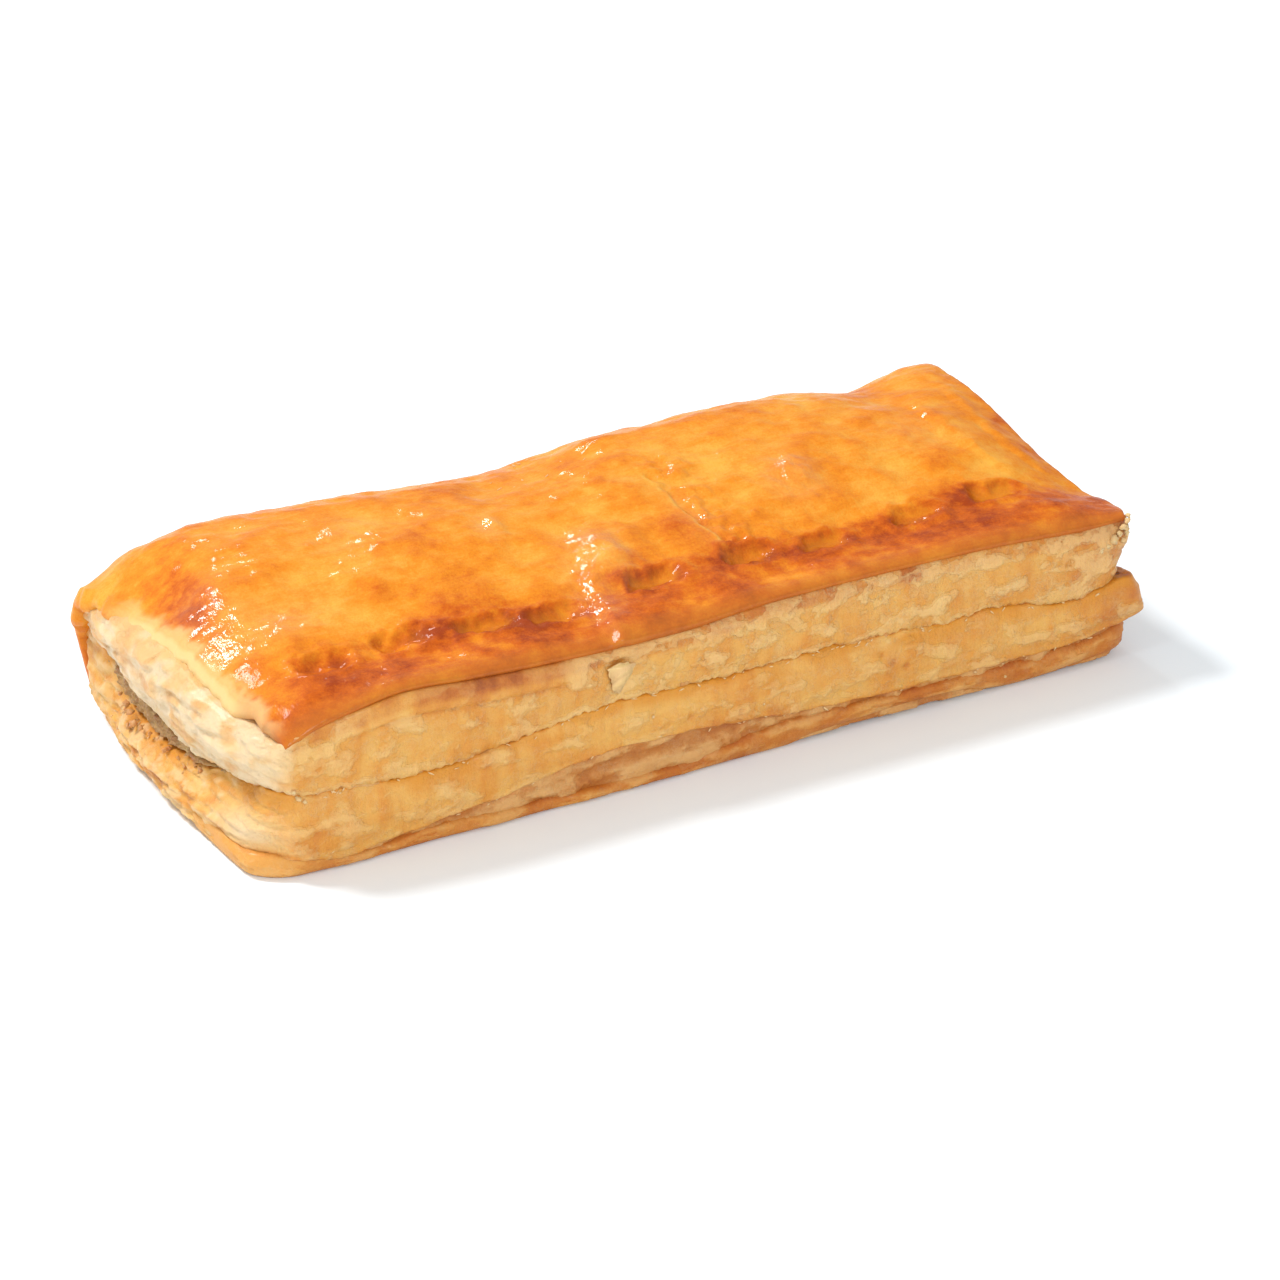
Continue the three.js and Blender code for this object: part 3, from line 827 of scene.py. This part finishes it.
# The slots: centre x, y, length, width, depth, turn in degrees, how dark they baked round
# them, and how golden their floors stayed.
SLOTS = [
    (-64.5, -22.9, 9, 3.4, 0.9, 4, 0.3, 0.1),
    (-50.1, -21.2, 9.2, 3.2, 1, 2, 0.5, 0.3),
    (-36.2, -23, 9.6, 3.4, 1.1, -3, 0.65, 0.9),
    (-24.1, -24.4, 8.4, 3.2, 1.1, 0, 0.7, 0.8),
    (-4.4, -22.4, 9.4, 3.4, 1, 3, 0.6, 0.9),
    (13.4, -22.1, 8.6, 3.6, 1.2, -2, 0.8, 0.8),
    (27.6, -23.2, 9, 3.4, 1, 1, 0.6, 0.9),
    (46.4, -21.6, 8.8, 3.4, 1.1, 2, 0.7, 0.6),
    (62.8, -20.6, 9.4, 3.6, 1.2, -2, 0.7, 0.9),
]

# Where the egg pooled and wrinkled as it dried: centre x, y, reach along and across, depth.
WRINKLED = [
    (-76, -1, 5, 7, 0.8), (-75, -10, 6, 5, 0.8), (-66, -10, 7, 4, 0.5), (-11, -14, 5, 6, 1.2),
    (-16.5, -24, 3, 5, 1), (-16, -30, 3, 2, 0.4), (31, -6, 4, 5, 1.3), (-23.5, 1, 2, 4, 0.6),
    (-47, 9, 5, 3, 0.4), (10, -10, 3, 9, 0.4), (60, 0, 7, 5, 0.3),
]

# Where the sheet buckled as it rose: centre x, y, reach along and across, height.
BUCKLES = [
    (-9, -13, 3.8, 5.5, 1.8), (-79, 25, 6, 8, 1.7), (-62, 30, 5, 5, 0.7), (-3, -10, 2.5, 3, 0.7),
    (33, -6, 3.4, 5.5, 0.6), (-22, 2, 1.6, 3, 0.6), (-48, -4, 4, 4, 0.7), (-68, -14, 4, 3, 0.6),
    (-72, 4, 3, 4, 0.6), (-43, 11, 4, 3, 0.5), (8, 22, 4, 4, 0.7),
]

# Patches of darker or paler skin: centre x, y, reach along and across, how much darker.
BROWN_PATCHES = [
    (-38, -17.5, 6, 4, 0.3), (-30, -24, 6, 5, 0.42), (-24, -31, 7, 3.5, 0.36),
    (-44, -22, 4, 4, 0.25), (-6, -21, 5, 5, 0.35), (-7, -28, 6, 4, 0.35), (7, -31, 4, 4, 0.34),
    (8, -23, 4, 4, 0.32), (20, -24, 6, 3, 0.25), (35, -22.5, 4, 3.5, 0.34), (42, -25, 6, 3, 0.28),
    (55, -19.5, 4, 3.5, 0.34), (57, -28, 8, 4, 0.3), (47, -31, 8, 4, 0.22), (72, -24, 5, 7, 0.2),
    (80, 0, 3, 16, 0.3), (-62, -28, 12, 4, 0.16), (-77, 10, 5, 10, 0.34), (-35, 4, 4, 12, 0.14),
    (-32, -8, 6, 7, 0.1), (76, -6, 5, 14, 0.22), (62, 22, 5, 12, 0.15), (-60, -4, 6, 5, 0.12),
    (-62, -33, 16, 3.5, 0.32), (-56, -28, 10, 3, 0.2), (-78, 1, 4, 6, 0.28),
    (45, -28, 5, 3, 0.16), (0, 7, 9, 8, -0.26),
]

CRUST_TONES = [(249, 180, 70), (243, 146, 32), (214, 102, 18), (168, 66, 14)]
PIT_TONE = (218, 136, 30)
DULL_TONE = (198, 118, 50)
FADED_TONE = (252, 214, 148)
WRINKLE_DEPTH = 0.6 * MM

crust_right = curve([(-35, 80.2), (-30, 81.8), (-24, 82), (-8, 79.4), (12, 78.4), (34, 79)])
crust_left = curve([(-35, -77.6), (-16, -80), (5, -82), (20, -84.2), (33, -85)])

# Where one fold of the skin overlaps the next: x along y.
first_step = curve([(-36, -19.4), (-30.6, -18.3), (-22, -16.4), (-14, -14)])
second_step = curve([(-36, 6.4), (-28.8, 8.9), (-18.7, 11), (-10, 9.6), (8, 8.6)])
third_step = curve([(-18, 69), (-6, 64.5), (6, 63.5), (18, 66)])
fourth_step = curve([(-20, 77.5), (-8, 73.5), (4, 72), (16, 73)])


def slot_press(x, y, warp_x, warp_y):
    """How deep the slots are pressed, their golden floors, and the dark stain round them."""
    depth, golden, stain = np.zeros_like(x), np.zeros_like(x), np.zeros_like(x)
    for slot_x, slot_y, length, width, deep, turn, dark, gold in SLOTS:
        cos, sin = math.cos(math.radians(turn)), math.sin(math.radians(turn))
        along = (x + warp_x - slot_x) * cos + (y + warp_y - slot_y) * sin
        across = (y + warp_y - slot_y) * cos - (x + warp_x - slot_x) * sin
        past = np.hypot(np.maximum(np.abs(along) - (length - width) / 2, 0), across) - width / 2
        pressed = ramp(1.2, -1.6, past)
        tilt = 1 - 0.4 * along / length
        depth += 0.85 * deep * tilt * pressed - 0.3 * bump(past - 1.5, 0.9)
        golden = np.maximum(golden, pressed * gold)
        left_dark = np.hypot((along + 0.45 * length) / 4.2, (across + 0.3) / 2.8)
        ring = bump(past - 0.4, 1.4)
        stain = np.maximum(stain, dark * np.maximum(0.6 * np.exp(-left_dark**2), 0.35 * ring))
        stain = np.maximum(stain, SLOT_STAIN * pressed * (1 - gold))
    return depth, golden, stain


def shingle(x, y, edge, height, fall):
    """A step across the crust, high just right of the edge and falling away from it."""
    past = x - edge(y)
    return height * ramp(-1.2, 1.8, past) * np.exp(-np.maximum(past, 0) / fall)


def skin_mesh():
    """A flat skin, with rings round its rim that go down and close it from below."""
    bm = bmesh.new()
    bmesh.ops.create_grid(bm, x_segments=CRUST_ALONG, y_segments=CRUST_ACROSS, size=1)
    open_edge = [edge for edge in bm.edges if edge.is_boundary]
    for _ in RIM_STEPS + INNER_RINGS:
        grown = bmesh.ops.extrude_edge_only(bm, edges=open_edge)["geom"]
        open_edge = parts_of(grown, bmesh.types.BMEdge)
        bmesh.ops.translate(bm, vec=(0, 0, 1), verts=parts_of(grown, bmesh.types.BMVert))
    bmesh.ops.contextual_create(bm, geom=open_edge)
    return bm


def follow_path(share):
    """Distance, place (y, z) and direction along the skin's path, at a share of its length."""
    path = np.array(CRUST_PATH)
    run = np.concatenate([[0], np.cumsum(np.hypot(*np.diff(path, axis=0).T))])
    along = run[-1] * share
    place, direction = [], []
    for side in path.T:
        at = curve(zip(run, side))
        place.append(at(along))
        ahead, behind = np.minimum(along + PATH_STEP, run[-1]), np.maximum(along - PATH_STEP, 0)
        direction.append(at(ahead) - at(behind))
    return along, place, direction / np.hypot(*direction)


def make_top_crust():
    bm = skin_mesh()
    at = places_of(bm)
    level = np.rint(at[:, 2]).astype(int)
    side_x, side_y = (np.sign(side) * (np.abs(side) > 1 - 1e-4) for side in at[:, :2].T)
    at[:, :2] *= np.array([1] * (len(RIM_STEPS) + 1) + INNER_RINGS)[level, None]
    from_left = (at[:, 0] + 1) / 2
    from_front, (y, z), (run_y, run_z) = follow_path((at[:, 1] + 1) / 2)
    up_y, up_z = -run_z, run_y
    tuck = 0.12 * np.maximum(0, 20 - z)
    waver = 1.1 * drift(np.stack([0 * y, y, z], 1), 5, 67) * ramp(-34, -30, y) * ramp(24, 27, z)
    x = mix(crust_left(y) + tuck + waver, crust_right(y), from_left)
    flat = np.stack([x, y, z], 1)

    # The roll's swellings, slots, overlaps and buckles raise and lower the skin.
    on_top = ramp(8, 26, z)
    rim_lift = (crust_under_at_front(x) + RIM_OVER_LAYERS - CRUST_PATH[0][1]) * ramp(-28, -35.6, y)
    z = z + swell_and_droop(x, y) * on_top + rim_lift
    on_front = ramp(-10, -16, y) * on_top
    warp_x, warp_y = drift(flat, 2.6, 71), drift(flat, 2.6, 72)
    freckle = drift(flat, (1.5, 1.3, 1.3), 73)
    depth, golden, stain = slot_press(x, y, 1.3 * warp_x + 0.4 * freckle, 1.2 * warp_y - 0.4 * freckle)
    bent = x + 0.9 * warp_x
    steps = shingle(bent, y, first_step, 1.5, 12) * ramp(-10, -20, y)
    ribs = shingle(bent, y, third_step, 0.9, 5) + shingle(bent, y, fourth_step, 0.9, 4)
    steps += ribs * ramp(-19, -12, y) * ramp(18, 8, y)
    past_tear = x + 0.5 * warp_x - second_step(y)
    torn_along = ramp(14, 6, y) * ramp(-25, -20, y) * ramp(-0.45, 0.1, warp_y)
    steps -= 0.7 * ramp(-0.5, 0.5, past_tear) * np.exp(-np.maximum(past_tear, 0) / 9) * torn_along
    broad = drift(flat, (20, 16, 16), 61, 2)
    lumps = drift(flat, (7, 6, 6), 62)
    dimples = drift(flat, (3.6, 3.2, 3.2), 65, 2)
    wrinkled = hills(x, y, WRINKLED)
    crinkle = drift(flat, (1.2, 1.9, 1.6), 63) * (0.03 + 0.16 * wrinkled * on_top)
    ripples = drift(flat, (3, 1.2, 1.2), 66, 2) * (0.03 + 0.16 * wrinkled)
    relief = 0.8 * broad + 0.42 * lumps + hills(x, y, BUCKLES)
    relief *= mix(0.35, 1, ramp(0, 8, from_front))
    relief += 0.1 * dimples * ramp(0, -14, y) + crinkle + ripples + steps * on_top - depth * on_front
    y, z = y + up_y * relief, z + up_z * relief

    # The rim rolls under, and at the left end it rolls down over the layers.
    over_end = (side_x < 0) * ramp(-31, -20, flat[:, 1]) * ramp(16, 24, flat[:, 2])
    inner = [(0, SKIN)] * len(INNER_RINGS)
    plain, rolled = (np.array([(0, 0)] + rim + inner)[level] for rim in (RIM_STEPS, END_STEPS))
    out, down = mix(plain, rolled, over_end[:, None]).T
    out = out / np.maximum(np.hypot(side_x, side_y), 1)
    down = down * (1 + 0.25 * drift(flat, 5, 64))
    points = np.stack([
        x + side_x * out,
        y + side_y * out * run_y - up_y * down,
        np.maximum(z + side_y * out * run_z - up_z * down, SKIN_FLOOR),
    ], 1)

    # How brown, golden, wet, pale and dull each place of the skin is.
    x, y, z = points.T
    patches = hills(x, y, BROWN_PATCHES)
    shoulder = ramp(-16, -28, y) * (0.8 + 0.2 * ramp(-70, -40, x) + 0.1 * ramp(0, 20, x))
    shoulder *= 1 + 0.35 * dimples + 0.25 * warp_y + 0.15 * freckle
    baked = 0.28 + 0.18 * broad + 0.18 * lumps + 0.08 * dimples + 0.34 * shoulder
    spots = (1.1 * patches * on_top + 1.3 * stain * on_front) * (1 + 0.6 * warp_x + 0.35 * freckle)
    baked += spots * np.clip(1.15 - baked, 0.3, 1)
    baked -= 0.4 * bump(past_tear + 0.4, 0.45) * torn_along * on_top
    baked += 0.16 * ramp(0, 2, level) * (1 - over_end)
    from_end = from_left * 2 * HALF_LENGTH + 1.6 * warp_y + 0.8 * lumps
    open_end = ramp(-35, -30, flat[:, 1]) * ramp(22, 8, flat[:, 1])
    masks = {
        "baked": baked, "pit": golden * on_front, "wet": wrinkled * on_top,
        "fade": open_end * np.maximum(0.6 * ramp(2.4, 0, from_end), over_end * ramp(0, 2.5, level)),
        "dull": ramp(5.5, 0.5, from_front + warp_x) * ramp(-82, -76, x),
    }
    finish_piece("top_crust", bm, points, masks, crust_material(), "pastry")


def crust_material():
    """Egg-glazed crust: orange skin under a thin clear glaze."""
    material, tree, shader = new_material("glazed_crust", {
        "Roughness": 0.5, "Specular IOR Level": 0.05, "Coat Roughness": 0.1,
        "Subsurface Weight": 0.08, "Subsurface Radius": (0.003, 0.0012, 0.0004),
        "Subsurface Scale": 0.5,
    })
    fade, wet = mask(tree, "fade"), mask(tree, "wet")
    skin = oven_colours(tree, CRUST_TONES, mottle=1.8)
    skin = mixed(tree, calc(tree, "MULTIPLY", mask(tree, "pit"), 0.6), skin, tone(*PIT_TONE))
    skin = mixed(tree, calc(tree, "MULTIPLY", mask(tree, "dull"), 0.55), skin, tone(*DULL_TONE))
    skin = mixed(tree, fade, skin, tone(*FADED_TONE))
    tree.links.new(skin, shader.inputs["Base Color"])
    where = object_places(tree)
    wrinkles = speckle(tree, stretched(tree, where, (1, 0.42, 0.6)), 1000, 3)
    wrinkles = calc(tree, "MULTIPLY", wrinkles, band(tree, wet, 0, 1, 0.25, 1))
    pores = speckle(tree, where, 2600, 2)
    skin_relief = weighted(tree, [(wrinkles, 0.5), (pores, 0.3)])
    for socket, height in (("Normal", skin_relief), ("Coat Normal", wrinkles)):
        inputs = {"Strength": 0.5, "Distance": WRINKLE_DEPTH, "Height": height}
        relief = add_node(tree, "Bump", inputs).outputs[0]
        tree.links.new(relief, shader.inputs[socket])
    gloss = calc(tree, "SUBTRACT", band(tree, wet, 0, 0.5, 0.22, 1), fade)
    tree.links.new(band(tree, gloss, 0, 1), shader.inputs["Coat Weight"])
    return material


make_top_crust()


# ----------------------------------------------
# Flake and crumbs. One loose flake stands on the front face, shreds of torn film bristle
# along the seam and the rims, and crumbs of pastry and meat cling to the cut ends.

FLAKE_THICKNESS = 0.25
FLAKE_STAND = 1
FLAKE_MIDDLE = 21.5
FLAKE_SEGMENTS = 96

# The flake's outline on the front face, (x, z).
FLAKE_OUTLINE = [
    (-20.9, 24.6), (-19, 25.2), (-17.2, 25), (-15.8, 24.2), (-16.6, 22.4), (-17.9, 20.4),
    (-18.5, 19.3), (-19.8, 20.3), (-20.2, 22.4), (-20.9, 24.6),
]

# Crumbs: centre x, y, z, size across.
PALE_CRUMBS = [
    (77.4, -36.3, 24.6, 1.5), (78.4, -36.4, 25.4, 1.1), (79.2, -36.5, 26.4, 1.3),
    (79.9, -36.3, 25.2, 1), (80.1, -36.1, 27.3, 1.1), (76.2, -36.2, 23.5, 1),
    (74.9, -36.1, 22.9, 1.2), (79.3, -36.2, 24, 0.9), (80.4, -35.8, 28.2, 0.9),
    (-76, -35.9, 14.9, 0.9), (-75, -36, 14.2, 0.6), (-76.6, -35.4, 16, 0.7),
    (56.8, -35.7, 2.8, 0.5), (-3, -35.8, 12.2, 0.5), (-12, -35.8, 13, 0.5),
    (9, -35.8, 10, 0.4),
]
BROWN_CRUMBS = [
    (-84.6, 12.5, 9.4, 1.2), (-84.9, 10.9, 8.1, 1.1), (-85.2, 12.4, 7, 1),
    (-84.4, 14.6, 10.2, 0.9), (-84.7, 8.2, 8.6, 0.8), (-84.4, 5.2, 8.9, 0.7),
    (-84.5, 17, 10.8, 0.8), (-84.3, -1, 8.8, 0.7), (-84.2, 2.3, 9.3, 0.6),
    (-85.1, 17.3, 4.2, 0.6),
]
PALE_CRUMB_TONES = [(252, 220, 164), (244, 200, 136), (226, 160, 88), (200, 120, 60)]
BROWN_CRUMB_TONES = [(240, 184, 118), (222, 150, 84), (196, 110, 52), (156, 80, 36)]
FILM_TONES = [(255, 210, 130), (240, 172, 84), (206, 120, 50), (160, 80, 30)]
MEAT_CRUMBS = 34
SHREDS = 90
SHRED_THICKNESS = 0.06
SHRED_REACH = 0.6

film_material = flaky_material("torn_film", FILM_TONES, glow=0)


def make_front_flake():
    bm = bmesh.new()
    bmesh.ops.create_circle(bm, cap_ends=True, segments=FLAKE_SEGMENTS, radius=1)
    raise_lids(bm, 2)
    at = places_of(bm)
    corners = np.linspace(0, 1, len(FLAKE_OUTLINE))
    x, z = (np.interp(turn_of(at), corners, side) for side in zip(*FLAKE_OUTLINE))
    ragged = drift(np.stack([x, 0 * x, z], 1), 0.8, 81)
    y = -HALF_WIDTH - FLAKE_STAND + FLAKE_THICKNESS * at[:, 2] / 2 - 0.25 * (z - FLAKE_MIDDLE) / 3
    points = np.stack([x + 0.25 * ragged, y, z + 0.25 * ragged], 1)
    masks = {"baked": 0.1 + 0.4 * ragged, "cream": 0.3 + 0.3 * ragged}
    finish_piece("front_flake", bm, points, masks, film_material, "pastry")


def make_crumbs(name, places, material, seed):
    """Small irregular lumps at the given places, in one mesh."""
    bm = bmesh.new()
    centre = []
    for *place, size in places:
        made = bmesh.ops.create_icosphere(bm, subdivisions=2, radius=size / 2)["verts"]
        bmesh.ops.translate(bm, vec=place, verts=made)
        centre += [place] * len(made)
    at = places_of(bm)
    lump = 1 + 0.9 * drift(at, 0.45, seed, 2)
    points = centre + (at - centre) * lump[:, None]
    finish_piece(name, bm, points, {"baked": 0.4 * lump - 0.2}, material, None)


def meat_crumb_places():
    """More crumbs, scattered along the meat's lower edge at the left end."""
    rng = np.random.default_rng(11)
    places = []
    for _ in range(MEAT_CRUMBS):
        y = rng.uniform(-12, 24)
        z = float(lower_top(np.array([-84]), np.array([y]))[0]) - abs(rng.normal(0, 1.3)) - 0.2
        places.append((float(lower_end(y, z)) - 0.1, y, z, rng.uniform(0.35, 0.9)))
    return places


def shred_places():
    """
    Places of the torn shreds along the seam and the rims, on the crown and on the left end,
    with the random numbers that go on to shape them.
    """
    rng = np.random.default_rng(7)
    places = []
    for _ in range(SHREDS):
        x = rng.uniform(-76, 80)
        line = rng.choice([0, 0, 0, 1, 2])
        z = (seam_at_front(x), crust_under_at_front(x) - 0.6, lower_under_at_front(x) + 0.3)[line]
        places.append((x, -HALF_WIDTH - 0.15, float(z) + rng.normal(0, 0.3)))
    for _ in range(SHREDS // 6):
        x, y = rng.uniform(-26, 6), rng.uniform(14, 29)
        places.append((x, y, float(crown(y) + swell_and_droop(x, y)) + 0.2))
    for _ in range(SHREDS // 3):
        y, z = rng.uniform(-30, 26), rng.uniform(4.5, 9)
        places.append((float(lower_end(y, z)) - 0.3, y, z))
    return places, rng


def make_shreds():
    bm = bmesh.new()
    places, rng = shred_places()
    for place in places:
        made = bmesh.ops.create_icosphere(bm, subdivisions=1, radius=1)["verts"]
        size = rng.uniform(0.25, 0.7), SHRED_THICKNESS, rng.uniform(0.07, 0.18)
        bmesh.ops.scale(bm, vec=size, verts=made)
        lean = Matrix.Rotation(rng.uniform(-0.9, 0.9), 3, "Y")
        turn = lean @ Matrix.Rotation(rng.uniform(-0.5, 0.5), 3, "Z")
        bmesh.ops.rotate(bm, cent=(0, 0, 0), matrix=turn, verts=made)
        bmesh.ops.translate(bm, vec=place, verts=made)
    points = places_of(bm)
    points[:, 1] = np.maximum(points[:, 1], -HALF_WIDTH - SHRED_REACH)
    masks = {"baked": 0.1, "cream": 0.5}
    finish_piece("torn_shreds", bm, points, masks, film_material, None)


make_front_flake()
pale_crumb = flaky_material("pale_crumb", PALE_CRUMB_TONES, streak=0, crumb=1)
make_crumbs("pale_crumbs", PALE_CRUMBS, pale_crumb, 83)
brown_crumb = flaky_material(
    "brown_crumb", BROWN_CRUMB_TONES, streak=0, crumb=1, roughness=0.35,
)
make_crumbs("brown_crumbs", BROWN_CRUMBS + meat_crumb_places(), brown_crumb, 84)
make_shreds()


# ----------------------------------------------
# Floor, light and camera. A plain pale table, a soft key light from the left and behind,
# smaller lamps that glint on the glaze, and the rest of a white room as fill.

FLOOR_SIZE = 6
FLOOR_COLOUR = (0.87, 0.93, 0.97, 1)
ROOM_STRENGTH = 0.55

# Lamps: name, place in metres, size across, watts. All are aimed at one point.
LAMPS = [
    ("key", (-0.5, 0.5, 1), 0.35, 12),
    ("side", (-1.2, -0.2, 0.45), 0.2, 2.5),
    ("back", (0.2, 1, 0.66), 0.12, 1.4),
    ("fill", (-0.2, -1.1, 0.7), 0.45, 8),
]
LAMP_AIM = Vector((0, 0, 0.02))

CAMERA_PLACE = (-0.34148, -0.64292, 0.39521)
CAMERA_AZIMUTH = math.radians(-28.31)
CAMERA_ELEVATION = math.radians(28.04)
LENS_MM = 135


def make_floor():
    bm = bmesh.new()
    bmesh.ops.create_grid(bm, x_segments=1, y_segments=1, size=FLOOR_SIZE / 2)
    mesh = bpy.data.meshes.new("floor")
    bm.to_mesh(mesh)
    bm.free()
    settings = {"Base Color": FLOOR_COLOUR, "Roughness": 0.9, "Specular IOR Level": 0.1}
    mesh.materials.append(new_material("white_table", settings)[0])
    add_object("floor", mesh)


def soft_light(name, place, size, watts):
    light = bpy.data.lights.new(name, "AREA")
    light.shape = "DISK"
    light.size = size
    light.energy = watts
    lamp = add_object(name, light)
    lamp.location = place
    lamp.rotation_euler = (LAMP_AIM - Vector(place)).to_track_quat("-Z", "Y").to_euler()


def make_room():
    world = bpy.data.worlds.new("white_room")
    world.use_nodes = True
    background = world.node_tree.nodes["Background"]
    background.inputs["Color"].default_value = (1, 1, 1, 1)
    background.inputs["Strength"].default_value = ROOM_STRENGTH
    bpy.context.scene.world = world
    bpy.context.scene.view_settings.view_transform = "Standard"


def make_camera():
    back = Vector((
        math.sin(CAMERA_AZIMUTH) * math.cos(CAMERA_ELEVATION),
        -math.cos(CAMERA_AZIMUTH) * math.cos(CAMERA_ELEVATION),
        math.sin(CAMERA_ELEVATION),
    ))
    lens = bpy.data.cameras.new("camera")
    lens.lens = LENS_MM
    camera = add_object("camera", lens)
    camera.location = CAMERA_PLACE
    camera.rotation_euler = back.to_track_quat("Z", "Y").to_euler()
    bpy.context.scene.camera = camera


make_floor()
make_room()
for lamp in LAMPS:
    soft_light(*lamp)
make_camera()
